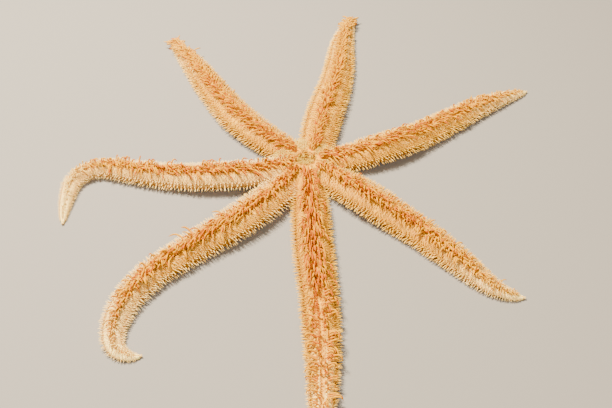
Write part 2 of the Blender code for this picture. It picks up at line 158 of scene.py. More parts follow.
# Where the arms start to turn pale, over what share of their length, and how slowly
PALE_FROM, PALE_OVER, PALE_BEND = 0.62, 0.32, 1.2

# The unwrap has one upright strip for each arm and one for the disc and mouth. Each foot and spine has
# a small patch at its root's place.
STRIPS = 8
STRIP_HALF = 0.46
STRIP_START, STRIP_LENGTH = 0.02, 0.95
SPARE_STRIP = 7.5 / STRIPS
PATCH = 0.003

rng = np.random.default_rng(SEED)


def table(knots, at, column=1):
    """A table's column between its rows."""
    rows = np.array(knots, float)
    return np.interp(at, rows[:, 0], rows[:, column])


def rising(value, start, span):
    """0 up to a start, and from there up to 1 over a span."""
    return np.clip((value - start) / span, 0, 1)


def falling(value, end, span):
    """From 1 down to 0 over the span before an end, and 0 from there."""
    return np.clip((end - value) / span, 0, 1)


def unit(vectors, least=0.0):
    """Vectors made 1 long. A tiny least length lets a zero vector pass."""
    return vectors / (np.linalg.norm(vectors, axis=-1, keepdims=True) + least)


def softened(values, width):
    """Running mean that keeps both ends."""
    padded = np.concatenate([np.full(width, values[0]), values, np.full(width, values[-1])])
    kernel = np.hanning(2 * width + 1)
    return np.convolve(padded, kernel / kernel.sum(), "same")[width:-width]


def course_of(arm):
    """An arm's middle line on the floor, with its half width, height and arch."""
    shares = np.linspace(0, 1, COURSE_SAMPLES)
    headings = np.radians(table(arm["course"], shares))
    middle = (headings[1:] + headings[:-1]) / 2
    step = arm["length"] / (COURSE_SAMPLES - 1)
    x = np.concatenate([[0], np.cumsum(np.cos(middle))]) * step
    y = np.concatenate([[0], np.cumsum(np.sin(middle))]) * step
    girth = np.interp(shares, (0, 1), arm["girth"])
    half = softened(table(BODY, shares, 1), BODY_BLUR) * MM * girth
    high = softened(table(BODY, shares, 2), BODY_BLUR) * MM
    through = rising(shares, ARCH_SPAN[0], ARCH_SPAN[1] - ARCH_SPAN[0])
    arch = arm["arch"] * np.sin(np.pi * through) ** 2
    return {
        "share": shares, "x": x, "y": y, "path": np.stack([x, y], -1), "heading": headings, "half": half,
        "high": high, "arch": arch,
    }


COURSES = {name: course_of(arm) for name, arm in ARMS.items()}


def along(name, key, share):
    course = COURSES[name]
    return np.interp(share, course["share"], course[key])


def directions(name, share):
    """Directions to the left and ahead along an arm."""
    heading = along(name, "heading", share)
    x, y, level = np.cos(heading), np.sin(heading), np.zeros_like(heading)
    return np.stack([-y, x, level], -1), np.stack([x, y, level], -1)


def smooth_section():
    """The half section as a smooth curve, with the share of its length at each point."""
    points = np.array(HALF_SECTION)
    mirrored = np.array([-1, 1])
    points = np.vstack([points[1] * mirrored, points, points[-2] * mirrored])
    fine = []
    for a, b, c, d in zip(points, points[1:], points[2:], points[3:]):
        for u in np.linspace(0, 1, CURVE_STEPS, endpoint=False):
            fine.append(0.5 * ((2 * b) + (c - a) * u + (2 * a - 5 * b + 4 * c - d) * u**2
                               + (3 * b - a - 3 * c + d) * u**3))
    fine = np.array([*fine, points[-2]])
    steps = np.linalg.norm(np.diff(fine * np.array(WIDEST_BODY), axis=0), axis=1)
    length = np.concatenate([[0], np.cumsum(steps)])
    return length / length[-1], fine


ROUND, SECTION = smooth_section()
WIDEST = int(np.argmax(SECTION[:, 0]))
UPPER_SIDE = slice(None, WIDEST + 1)


def round_at(across, upper=True):
    """Place round the half section of a share of half width, on its upper or its lower side."""
    if upper:
        return float(np.interp(across, SECTION[UPPER_SIDE, 0], ROUND[UPPER_SIDE]))
    return float(np.interp(-across, -SECTION[WIDEST:, 0], ROUND[WIDEST:]))


LIP, FOLD, EDGE = round_at(0.22), round_at(0.46), round_at(0.97)


def surface(name, share, around, side):
    """Points and outward normals on the body, at shares of length and places round the half section."""
    share, around, side = np.broadcast_arrays(np.asarray(share, float), around, side)
    a, b = (np.interp(around, ROUND, SECTION[:, axis]) for axis in (0, 1))
    da, db = (np.interp(around + SLOPE_STEP, ROUND, SECTION[:, axis])
              - np.interp(around - SLOPE_STEP, ROUND, SECTION[:, axis]) for axis in (0, 1))
    half, high = along(name, "half", share), along(name, "high", share)
    left, _ = directions(name, share)
    base = np.stack([along(name, key, share) for key in ("x", "y", "arch")], -1)
    points = base + left * (side * a * half)[..., None] + UP * (b * high)[..., None]
    normal = left * (-db * high * side)[..., None] + UP * (da * half)[..., None]
    return points, unit(normal, TINY)


def crowded(step):
    """Share of an arm's length after a share of its plates."""
    return 1 - (1 - step) ** (1 / PLATE_CROWDING)


def plate_shares(count=PLATES):
    return crowded((np.arange(count) + 0.5) / count)


def station(share):
    """Count of plates up to a share of an arm's length."""
    return PLATES * (1 - (1 - np.clip(share, 0, 1)) ** PLATE_CROWDING)


def drift(share, scale, seed):
    """Smooth random value from about -1 to 1 that changes along an arm."""
    local = np.random.default_rng(seed)
    total = np.zeros_like(share)
    for octave in range(3):
        phase = local.uniform(0, 6.28)
        total += np.sin(share * scale * (1 + octave) * 2 * math.pi + phase) / (1 + 0.6 * octave)
    return total / 1.9


def size_at(name, share, least):
    """Size of feet and spines, down to a least one where an arm is narrow."""
    return np.clip(along(name, "half", share) / FULL_SIZE_HALF, least, 1)


def distal(share):
    """How pale an arm is there, from 0 to 1 at its tip."""
    return rising(share, PALE_FROM, PALE_OVER) ** PALE_BEND


def nearest(points, places):
    """Number of the place nearest to each point, and how far it is, a block of points at a time."""
    number, away = np.empty(len(points), int), np.empty(len(points))
    for start in range(0, len(points), BLOCK):
        block = slice(start, start + BLOCK)
        gap = np.hypot(points[block, None, 0] - places[:, 0], points[block, None, 1] - places[:, 1])
        number[block], away[block] = gap.argmin(1), gap.min(1)
    return number, away


def other_arms_clearance(name, points):
    """Distance from each point to the nearest other arm's flank, negative inside it."""
    least = np.full(len(points), 1.0)
    for other in NAMES:
        if other != name:
            number, away = nearest(points, COURSES[other]["path"][::4])
            least = np.minimum(least, away - COURSES[other]["half"][::4][number])
    return least


def strip_uv(number, share, around, side):
    """Place on the unwrap of a point of an arm."""
    u = (number + 0.5 + STRIP_HALF * side * around) / STRIPS
    v = STRIP_START + STRIP_LENGTH * share
    return np.stack(np.broadcast_arrays(u, v), -1)


# Meshes

def add_mask(mesh, name, values):
    attribute = mesh.attributes.new(name, "FLOAT", "POINT")
    attribute.data.foreach_set("value", np.asarray(values, np.float32))


def add_object(name, data):
    obj = bpy.data.objects.new(name, data)
    bpy.context.scene.collection.objects.link(obj)
    return obj


def read(items, key, kind=np.int32, width=1):
    values = np.empty(len(items) * width, kind)
    items.foreach_get(key, values)
    return values


def unwrap(mesh, uv):
    while mesh.uv_layers:
        mesh.uv_layers.remove(mesh.uv_layers[0])
    layer = mesh.uv_layers.new(name="OFBake")
    layer.data.foreach_set("uv", np.asarray(uv, np.float32).ravel())
    mesh.polygons.foreach_set("use_smooth", np.ones(len(mesh.polygons), bool))


def mesh_object(name, verts, loops, sizes, uv, material):
    mesh = bpy.data.meshes.new(name)
    mesh.vertices.add(len(verts))
    mesh.vertices.foreach_set("co", np.asarray(verts, np.float32).ravel())
    mesh.loops.add(len(loops))
    mesh.loops.foreach_set("vertex_index", np.asarray(loops, np.int32))
    mesh.polygons.add(len(sizes))
    starts = np.concatenate([[0], np.cumsum(sizes)[:-1]])
    mesh.polygons.foreach_set("loop_start", np.asarray(starts, np.int32))
    mesh.update(calc_edges=True)
    mesh.validate()
    unwrap(mesh, uv)
    mesh.materials.append(material)
    return add_object(name, mesh)


def circle_angles(sides):
    return np.arange(sides) / sides * 2 * math.pi


def ringed(name, points, material, uv_scale=0.0, uv_middle=(0, 0)):
    """A closed body from rings of points, capped at its first and last ring, with a flat unwrap."""
    rings, sides = points.shape[:2]
    index = np.arange(rings * sides).reshape(rings, sides)
    after = np.roll(index, -1, axis=1)
    quads = np.stack([index[:-1], index[1:], after[1:], after[:-1]], -1).reshape(-1, 4)
    loops = np.concatenate([quads.ravel(), index[0], index[-1][::-1]])
    sizes = np.concatenate([np.full(len(quads), 4), [sides, sides]])
    verts = points.reshape(-1, 3)
    return mesh_object(name, verts, loops, sizes, verts[loops, :2] * uv_scale + uv_middle, material)


def turned(name, profile, sides, material):
    """A closed body turned about the upright axis from a profile of radius and height, top first."""
    profile = np.array(profile)
    angle = circle_angles(sides)
    radius, height = profile[:, :1], profile[:, 1:]
    rings = [radius * np.cos(angle), radius * np.sin(angle), np.broadcast_to(height, (len(profile), sides))]
    return ringed(name, np.stack(rings, -1), material)


def tubes(centres, radii, reference, sides):
    """Closed round bodies about many centre lines at once."""
    count, rings, _ = centres.shape
    tangent = unit(np.gradient(centres, axis=1))
    first = unit(np.cross(tangent, reference[:, None, :]), TINY)
    second = np.cross(tangent, first)
    angle = circle_angles(sides)
    circle = first[:, :, None] * np.cos(angle)[None, None, :, None]
    circle = circle + second[:, :, None] * np.sin(angle)[None, None, :, None]
    verts = centres[:, :, None] + circle * radii[:, :, None, None]
    index = np.arange(count * rings * sides).reshape(count, rings, sides)
    after = np.roll(index, -1, axis=2)
    quads = np.stack([index[:, :-1], after[:, :-1], after[:, 1:], index[:, 1:]], -1).reshape(-1, 4)
    caps = np.concatenate([index[:, 0, ::-1], index[:, -1]])
    return verts.reshape(-1, 3), quads, caps


MASKS = ("along", "shade", "kind")


class Growth:
    """Collects many tubes for one joined mesh, with colour masks and a bake map."""

    def __init__(self):
        self.parts = {key: [] for key in ("verts", "quads", "caps", "uv", *MASKS)}
        self.count = 0

    def add(self, centres, radii, reference, sides, uv, shade, kind=0.0):
        """Tubes with their roots' places on the unwrap, and two values each for their colours."""
        count, rings, _ = centres.shape
        if count == 0:
            return
        verts, quads, caps = tubes(centres, radii, reference, sides)
        reach = np.linspace(0, 1, rings)[None, :, None]
        turn = np.abs(np.linspace(-1, 1, sides, endpoint=False))
        offset = np.stack(np.broadcast_arrays((turn - 0.5) * PATCH, (reach - 0.5) * PATCH), -1)
        kind = np.broadcast_to(np.asarray(kind, float), count)
        masks = zip(MASKS, (reach, shade[:, None, None], kind[:, None, None]))
        parts = {key: np.broadcast_to(values, (count, rings, sides)).ravel() for key, values in masks}
        parts["verts"], parts["uv"] = verts, (uv[:, None, None, :] + offset).reshape(-1, 2)
        parts["quads"], parts["caps"] = quads + self.count, caps + self.count
        for key, values in parts.items():
            self.parts[key].append(values)
        self.count += len(verts)

    def build(self, name, material):
        faces = self.parts["quads"] + self.parts["caps"]
        loops = np.concatenate([face.ravel() for face in faces])
        sizes = np.concatenate([np.full(len(face), face.shape[1]) for face in faces])
        verts, uv = np.concatenate(self.parts["verts"]), np.concatenate(self.parts["uv"])[loops]
        obj = mesh_object(name, verts, loops, sizes, uv, material)
        for key in MASKS:
            add_mask(obj.data, key, np.concatenate(self.parts[key]))
        return obj


# Materials

RED_BLEED = (1.0, 0.5, 0.25)
EVEN_BLEED = (0.8, 0.8, 0.8)
BLEED_DEPTH = 2.5 * MM
COAT_ROUGHNESS = 0.25


class Nodes:
    """Short calls for building a node tree."""

    def __init__(self, name):
        self.material = bpy.data.materials.new(name)
        self.material.use_nodes = True
        self.tree = self.material.node_tree
        self.shader = self.tree.nodes["Principled BSDF"]

    def feed(self, node, values):
        """Set a node's inputs to colours or numbers, or link them to masks by name or to other nodes."""
        for key, value in values.items():
            if isinstance(value, str):
                value = self.new("ShaderNodeAttribute", {}, attribute_name=value).outputs["Fac"]
            if isinstance(value, tuple):
                node.inputs[key].default_value = (*value, 1)
            elif isinstance(value, (int, float)):
                node.inputs[key].default_value = value
            else:
                self.tree.links.new(value, node.inputs[key])

    def new(self, kind, values, **settings):
        node = self.tree.nodes.new(kind)
        for key, value in settings.items():
            setattr(node, key, value)
        self.feed(node, values)
        return node

    def noise(self, scale, detail):
        place = self.new("ShaderNodeTexCoord", {}).outputs["Object"]
        values = {"Vector": place, "Scale": scale, "Detail": detail, "Roughness": 0.6}
        return self.new("ShaderNodeTexNoise", values).outputs["Fac"]

    def ramp(self, value, stops):
        node = self.new("ShaderNodeValToRGB", {"Fac": value})
        elements = node.color_ramp.elements
        while len(elements) < len(stops):
            elements.new(0.5)
        for element, (position, colour) in zip(elements, stops):
            element.position = position
            element.color = (*colour, 1)
        return node.outputs["Color"]

    def level(self, value, low, high):
        """0 to 1 as a value goes from low to high."""
        values = {"Value": value, "From Min": low, "From Max": high}
        return self.new("ShaderNodeMapRange", values, interpolation_type="SMOOTHSTEP").outputs["Result"]

    def math(self, operation, first, second):
        return self.new("ShaderNodeMath", {0: first, 1: second}, operation=operation).outputs["Value"]

    def mix(self, factor, first, second):
        return self.new("ShaderNodeMix", {0: factor, 6: first, 7: second}, data_type="RGBA").outputs[2]

    def bump(self, height, strength, distance):
        values = {"Height": height, "Strength": strength, "Distance": distance}
        self.feed(self.shader, {"Normal": self.new("ShaderNodeBump", values).outputs["Normal"]})

    def finish(self, colour, roughness, subsurface, specular, coat=0.0, bleed=RED_BLEED):
        self.shader.inputs["Subsurface Radius"].default_value = bleed
        self.feed(self.shader, {
            "Base Color": colour, "Roughness": roughness, "Specular IOR Level": specular,
            "Subsurface Weight": subsurface, "Subsurface Scale": BLEED_DEPTH,
            "Coat Weight": coat, "Coat Roughness": COAT_ROUGHNESS,
        })
        return self.material


PEACH = (0.50, 0.198, 0.0)
PEACH_LIGHT = (0.62, 0.272, 0.0)
CREAM = (0.84, 0.435, 0.014)
PALE_TIP = (1.0, 0.76, 0.25)
# Painted shade for the furrows, the pits, the band behind the fringe and the mouth's well
SHADE_BROWN = (0.115, 0.042, 0.004)
ORANGE = (0.46, 0.103, 0.0)
RED_ORANGE = (0.41, 0.079, 0.0)
STALK = (0.49, 0.190, 0.0)
STALK_ROOT = (0.72, 0.225, 0.004)
STALK_PALE = (0.60, 0.265, 0.0)
WHITISH = (0.98, 0.575, 0.125)
BONE = (1.0, 0.67, 0.22)
# Painted shade at the roots of the spines
SPINE_ROOT_SHADE = (0.28, 0.090, 0.004)
STRAW = (0.57, 0.35, 0.025)
STRAW_PALE = (0.80, 0.59, 0.12)
MEMBRANE_DARK = (0.42, 0.18, 0.02)
MEMBRANE_PALE = (0.75, 0.40, 0.05)
FLOOR_GREY = (0.2225, 0.193, 0.1515)


def skin_material():
    nodes = Nodes("skin")
    blotches = nodes.noise(90, 4)
    grain = nodes.noise(900, 3)
    colour = nodes.ramp(blotches, ((0.32, PEACH), (0.55, PEACH_LIGHT), (0.75, CREAM)))
    # The distal mask pales the tips, and on a pale arm it also paints light on the flanks
    colour = nodes.mix("distal", colour, PALE_TIP)
    colour = nodes.mix("groove", colour, STALK_ROOT)
    # Painted shade darkens the furrows, the pits, the band behind the fringe and the mouth's well
    colour = nodes.mix(nodes.math("MULTIPLY", "gap", 0.85), colour, SHADE_BROWN)
    speckle = nodes.level(grain, 0.42, 0.72)
    colour = nodes.mix(nodes.math("MULTIPLY", speckle, 0.25), colour, WHITISH)
    nodes.bump(grain, 0.5, 0.4 * MM)
    return nodes.finish(colour, 0.5, subsurface=0.12, specular=0.05)


def feet_material():
    """Golden stalks, paler with shade, and orange tips as strong as kind."""
    nodes = Nodes("tube_feet")
    stalk = nodes.mix(nodes.level("shade", 0.1, 0.9), STALK, STALK_PALE)
    root = nodes.mix(nodes.level("shade", 0.7, 1.0), STALK_ROOT, STALK_PALE)
    stalk = nodes.mix(nodes.level("along", 0.12, 0.42), root, stalk)
    stalk = nodes.mix(nodes.level("shade", 1.0, 1.3), stalk, PALE_TIP)
    tip = nodes.mix(nodes.level(nodes.noise(160, 2), 0.35, 0.65), ORANGE, RED_ORANGE)
    reach = nodes.math("ADD", "along", nodes.math("MULTIPLY", "shade", -0.26))
    tipped = nodes.level(reach, 0.42, 0.50)
    colour = nodes.mix(nodes.math("MULTIPLY", tipped, "kind"), stalk, tip)
    nodes.bump(nodes.noise(1500, 2), 0.25, 0.3 * MM)
    return nodes.finish(colour, 0.42, subsurface=0.2, specular=0.05, bleed=EVEN_BLEED)


def spine_material(name, *tips):
    """Roots darkened with painted shade, and paler tips, in the later of the given colours the paler a
    spine's kind is.
    """
    nodes = Nodes(name)
    pale = nodes.math("ADD", "kind", nodes.math("MULTIPLY", "shade", 0.35))
    tip = nodes.ramp(pale, tuple(zip((0.1, 0.45, 0.8, 1.0), tips)))
    # Painted shade in random patches at the roots; the palest spines get golden roots instead
    root = nodes.ramp(nodes.noise(120, 3), ((0.3, SPINE_ROOT_SHADE), (0.7, PEACH)))
    root = nodes.mix(nodes.level("kind", 0.85, 1.2), root, STALK)
    colour = nodes.mix(nodes.level("along", 0.1, 0.75), root, tip)
    nodes.bump(nodes.noise(2000, 2), 0.2, 0.2 * MM)
    return nodes.finish(colour, 0.45, subsurface=0.10, specular=0.06)


def membrane_material():
    nodes = Nodes("membrane")
    colour = nodes.ramp(nodes.noise(400, 4), ((0.3, MEMBRANE_DARK), (0.7, MEMBRANE_PALE)))
    nodes.bump(nodes.noise(900, 3), 0.4, 0.3 * MM)
    return nodes.finish(colour, 0.35, subsurface=0.1, specular=0.3, coat=0.4)


# Skin

RING_UPPER, RING_LOWER = 24, 8
ROWS_PER_PLATE = 4
HUB_SIDES, WELL_SIDES = 96, 48
FURROW_DEPTH = 0.42 * MM
FOLD_DEPTH, FOLD_WIDTH = 0.70 * MM, 0.014
PIT_DEPTH, PIT_SPACING = 0.30 * MM, 0.055
FULL_RELIEF_HALF = 9 * MM


def ring_places():
    """Places round the half section, closer together on the upper side."""
    widest = round_at(0.985)
    upper = np.linspace(0, widest, RING_UPPER, endpoint=False)
    return np.concatenate([upper, np.linspace(widest, 1, RING_LOWER)])


def relief(share, around):
    """Depth of the furrows between plates and rows, and the painted shade laid into them, from 0 to 1."""
    furrow = np.abs(2 * (station(share) % 1.0) - 1) ** 3
    oral = rising(around, LIP, 0.02) * falling(around, EDGE + 0.10, 0.05)
    comb = np.where(around < FOLD, 1.0, 0.5)
    columns = 0.5 + 0.5 * np.cos((around - EDGE) * 2 * math.pi / PIT_SPACING)
    pits = (1 - (1 - furrow) * columns) * rising(around - EDGE, 0.02, 0.03)
    # Painted shade in the band behind the fringe, so that the gaps between its spines look dark
    behind_fringe = rising(around, round_at(0.90), 0.02) * falling(around, round_at(0.93, False), 0.02)
    depth = FURROW_DEPTH * furrow * oral * comb
    depth = depth + FOLD_DEPTH * np.exp(-((around - FOLD) / FOLD_WIDTH) ** 2) + PIT_DEPTH * pits
    # The gap value is painted shade, darkest in the furrows, the pits and behind the fringe
    gap = np.maximum(np.maximum(furrow * oral * comb, 0.6 * pits), 0.6 * behind_fringe)
    return depth, gap


def arm_body(name):
    share = crowded(np.linspace(0, PLATES, PLATES * ROWS_PER_PLATE + 1) / PLATES)
    half_ring = ring_places()
    around = np.concatenate([half_ring, half_ring[-2:0:-1]])
    side = np.concatenate([np.ones(len(half_ring)), -np.ones(len(half_ring) - 2)])
    points, normal = surface(name, share[:, None], around[None, :], side[None, :])
    depth, _ = relief(share[:, None], around[None, :])
    size = np.clip(along(name, "half", share) / FULL_RELIEF_HALF, 0.2, 1)
    points = points - normal * (depth * size[:, None])[..., None]
    return ringed(f"body_{name}", points, skin_finish)


def combine(obj, pieces, operation):
    """Join pieces to an object or cut them from it, and remove them."""
    holder = bpy.data.collections.new("pieces")
    bpy.context.scene.collection.children.link(holder)
    for piece in pieces:
        bpy.context.scene.collection.objects.unlink(piece)
        holder.objects.link(piece)
    modifier = obj.modifiers.new("Combine", "BOOLEAN")
    modifier.operation = operation
    modifier.operand_type = "COLLECTION"
    modifier.collection = holder
    modifier.solver = "MANIFOLD"
    bpy.context.view_layer.update()
    mesh = bpy.data.meshes.new_from_object(obj.evaluated_get(bpy.context.evaluated_depsgraph_get()))
    obj.modifiers.clear()
    obj.data = mesh
    for piece in pieces:
        bpy.data.objects.remove(piece, do_unlink=True)
    bpy.data.collections.remove(holder)


def locate(points):
    """The arm that each point belongs to, its share of that arm's length and of its half width."""
    count = len(points)
    best, share, across = np.full(count, np.inf), np.zeros(count), np.zeros(count)
    arm = np.zeros(count, int)
    for number, course in enumerate(COURSES.values()):
        place, away = nearest(points, course["path"])
        heading, half = course["heading"][place], course["half"][place]
        offset = (points[:, 1] - course["y"][place]) * np.cos(heading)
        offset -= (points[:, 0] - course["x"][place]) * np.sin(heading)
        better = away / half < best
        best[better], across[better] = (away / half)[better], (offset / half)[better]
        arm[better], share[better] = number, course["share"][place][better]
    return arm, share, across


def around_from(across, height):
    """Place round the half section of points given as shares of half width and height."""
    place, _ = nearest(np.stack([np.abs(across), height], -1), SECTION[::3])
    return ROUND[::3][place]


def per_arm(arm, share, value_of):
    """Values at points, each worked out for the arm that its point belongs to."""
    values = np.zeros(len(arm))
    for number, name in enumerate(NAMES):
        mine = arm == number
        values[mine] = value_of(name, share[mine])
    return values


def body_at(arm, share, key):
    return per_arm(arm, share, lambda name, at: along(name, key, at))


def skin_masks(points, arm, share, around):
    """Where the skin is pale, golden or darkened with painted shade, each from 0 to 1."""
    radius = np.hypot(points[:, 0], points[:, 1])
    in_well = (radius < WELL_RADIUS + 0.2 * MM) & (points[:, 2] < WELL_RIM)
    open_here = per_arm(arm, share, lambda name, at: table(ARMS[name]["open"], at))
    pale_arm_with_painted_light = np.clip([ARMS[name]["pale"] for name in NAMES], 0, 1)[arm]

    least = np.where(open_here > 0.3, 0.1, 0.7)
    pallor = distal(share) * np.maximum(np.clip(around / LIP, 0, 1), least)
    flank = rising(around, round_at(0.4), round_at(0.6) - round_at(0.4))

    groove = np.clip(1.6 - 1.6 * around / LIP, 0, 1) * np.clip(1 - 1.5 * open_here, 0, 1)
    groove = groove * (1 - distal(share)) * ~in_well

    _, gap = relief(share, around)
    gap *= np.clip((radius - 12 * MM) / (10 * MM), 0.25, 1)
    # The mouth's well is filled with painted shade
    gap[in_well] = 1.0
    gap *= 1 - distal(share) * np.where(around < round_at(0.25), 1.0, 0.7)
    gap *= 1 - 0.9 * pale_arm_with_painted_light
    return {
        # On a pale arm the flanks get painted light, a cream mix that makes up for the shade they lie in
        "distal": np.maximum(pallor, 0.9 * pale_arm_with_painted_light * flank),
        "groove": groove,
        "gap": np.clip(gap * (1 - 0.8 * groove), 0, 1),
    }


def unwrap_skin(mesh, arm, share, around, across):
    """Puts each face on the strip and the side of the arm that its first corner belongs to."""
    corners, sizes = read(mesh.loops, "vertex_index"), read(mesh.polygons, "loop_total")
    starts = np.concatenate([[0], np.cumsum(sizes)[:-1]])
    first = np.repeat(corners[starts], sizes)
    uv = strip_uv(arm[first], share[corners], around[corners], np.sign(across[first] + 1e-9))
    unwrap(mesh, uv)


def make_skin():
    """One skin over the disc and the arms, with the mouth's well cut into it."""
    hub_rings = np.array(HUB_TOP[1:] + HUB_UNDER) * (HUB_RADIUS, HUB_HEIGHT)
    skin = turned("skin", hub_rings, HUB_SIDES, skin_finish)
    combine(skin, [arm_body(name) for name in NAMES], "UNION")
    well_rings = ((WELL_RADIUS, WELL_TOP), (WELL_RADIUS, WELL_FLOOR))
    combine(skin, [turned("well", well_rings, WELL_SIDES, skin_finish)], "DIFFERENCE")
    mesh = skin.data
    points = read(mesh.vertices, "co", np.float32, 3).reshape(-1, 3).astype(float)
    arm, share, across = locate(points)
    height = (points[:, 2] - body_at(arm, share, "arch")) / body_at(arm, share, "high")
    around = around_from(across, height)
    for name, values in skin_masks(points, arm, share, around).items():
        add_mask(mesh, name, values)
    unwrap_skin(mesh, arm, share, around, across)
    mesh.materials.clear()
    mesh.materials.append(skin_finish)
    mesh.update()
    return skin


# Tube feet

FEET = 172
FOOT_RADII = np.array([0.84, 0.81, 0.77, 0.73, 0.70, 0.69, 0.68, 0.62, 0.46, 0.14]) * MM
FOOT_SIDES = 6
FOOT_SCATTER, FOOT_STAGGER = 0.0016, 0.002
FIRST_FOOT, LAST_FOOT = 12.5 * MM, 4 * MM

# Places of the rows round the half section: inner, outer, and outer where the groove is open
INNER_ROW, FOOT_ROW, OPEN_FOOT_ROW = 0.01, round_at(0.075), round_at(0.24)

# Sizes in mm: how high a foot stands above the lips, how far it curls back, and how far the feet on
# the side away from the viewer reach. The inner rows reach a share of that to either side.
FOOT_RISE, RISE_RANGE = 4.4, (1.8, 5.6)
CURL = (4, 11)
FAR_REACH = 13.5
INNER_SHARE = 0.75
TIPPED_SHARE = 0.5
STRAY_SHARE, FIRST_STRAY = 0.035, 0.3
TOP_LIMIT = 23.6 * MM


def bezier(p0, p1, p2, p3, steps):
    u = np.linspace(0, 1, steps)[None, :, None]
    p0, p1, p2, p3 = (p[:, None, :] for p in (p0, p1, p2, p3))
    return (1 - u) ** 3 * p0 + 3 * (1 - u) ** 2 * u * p1 + 3 * (1 - u) * u**2 * p2 + u**3 * p3


def foot_shares(arm, side, inner):
    """Where along its arm each foot of a row stands."""
    share = plate_shares(FEET) + rng.uniform(-FOOT_SCATTER, FOOT_SCATTER, FEET)
    share = share + (FOOT_STAGGER if side < 0 else 0)
    if inner:
        share = share[table(arm["open"], share) < 0.5]
    return share[(share * arm["length"] > FIRST_FOOT) & (share < 1 - LAST_FOOT / arm["length"])]


def add_feet(growth, name, number, side, inner):
    """One row of tube feet, which stand out of the groove and bend over to the side and along the arm."""
    arm = ARMS[name]
    share = foot_shares(arm, side, inner)
    count = len(share)
    seed = 1000 * (number + 1) + 100 * side
    half, high = along(name, "half", share), along(name, "high", share)
    size = size_at(name, share, arm["fan"])
    open_here = table(arm["open"], share)
    row = INNER_ROW if inner else FOOT_ROW + (OPEN_FOOT_ROW - FOOT_ROW) * open_here
    root, _ = surface(name, share, row, side)
    left, ahead = directions(name, share)
    left = left * side
    far, near = np.clip(left[:, 1], 0, 1), np.clip(-left[:, 1], 0, 1)

    # How far the tips lie along the arm, to its side and above its lips
    lean = table(arm["flow"], share) * (1 + 0.25 * drift(share, 6, seed + 1))
    lean = lean + 1.6 * drift(share, 15, seed + 2)
    lean = (lean + rng.normal(0, 1.3, count) * (1 + open_here)) * MM
    least, most = table(arm["band"], share, 1), table(arm["band"], share, 2)
    chance = np.clip(rng.uniform(0, 1, count) + 0.15 * drift(share, 8, seed + 3), 0, 1)
    most = most + (FAR_REACH - most) * far * rising(share, 0, 0.1)
    if inner:
        least, most = -INNER_SHARE * most, INNER_SHARE * most
    spread = (least + (most - least) * chance + rng.normal(0, 0.4, count)) * MM
    rise = FOOT_RISE + 0.7 * drift(share, 11, seed + 4) + rng.normal(0, 0.7, count)
    rise = np.clip(rise, *RISE_RANGE) * MM
    near_mouth = np.clip((share * arm["length"] - 6 * MM) / (12 * MM), 0.6, 1)
    spread, lean, rise = spread * near_mouth * size, lean * size, rise * (1 - 0.4 * near) * size

    # Orange tips stand a little higher, and a few feet stray from the band
    lift = rng.uniform(0.55, 1.05, count)
    tipped = rng.uniform(0, 1, count) < TIPPED_SHARE * table(arm["vivid"], share)
    lift = lift + 0.3 * tipped
    stray = (rng.uniform(0, 1, count) < STRAY_SHARE) & (share > FIRST_STRAY)
    spread = np.where(stray, 1.2 * np.abs(spread) + 1.5 * MM * size, spread)
    lift = np.where(stray, rng.uniform(0.7, 1.5, count), lift)
    curl = rng.uniform(*CURL, count) * MM * size * far * rising(share, 0, 0.08) * ~stray
    across = spread - curl
    droop = np.clip(np.abs(across) / half - 0.5, 0, 1) * 0.45 * high

    top = (along(name, "arch", share) + high)[:, None] * UP + root * (1, 1, 0)

    def place(up, sideways, forwards):
        return top + UP * up[:, None] + left * sideways[:, None] + ahead * forwards[:, None]

    turning = place(0.9 * rise, np.maximum(arm["sweep"], 0.8 * far) * spread, 0 * lean)
    bending = place(1.15 * rise - 0.4 * droop, 0.88 * spread - 0.3 * curl, 0.25 * lean)
    bending = bending + rng.normal(0, 0.4, (count, 3)) * MM * size[:, None]
    tip = place(lift * rise - droop, across, lean)
    centres = bezier(root - UP * 0.6 * MM, turning, bending, tip, len(FOOT_RADII))
    stout = rng.uniform(0.82, 1.08, count) * np.where(tipped, 0.92, 1.12)
    radii = FOOT_RADII[None, :] * (size * stout)[:, None]
    centres[..., 2] = np.minimum(centres[..., 2], TOP_LIMIT - radii)

    bright = tipped & (~stray | (open_here > 0.5))
    strength = np.where(bright, rng.uniform(0.85, 1.0, count), rng.uniform(0.0, 0.22, count))
    shade = rng.uniform(*arm["shade"], count) + np.interp(share, (0.45, 0.9), (0, 0.6))
    shade = np.clip(shade, 0, 1) + np.clip(0.5 + arm["pale"], 0, 0.9) * 0.3 * distal(share)
    uv = strip_uv(number, share, FOOT_ROW, side)
    growth.add(centres, radii, ahead + 0.3 * left, FOOT_SIDES, uv, shade, strength)


def grow_feet(name, number):
    """Two rows of tube feet on each side of an arm's groove."""
    growth = Growth()
    for inner in (False, True):
        for side in (1, -1):
            add_feet(growth, name, number, side, inner)
    return growth.build(f"tube_feet_{name}", feet_finish)


# Spines

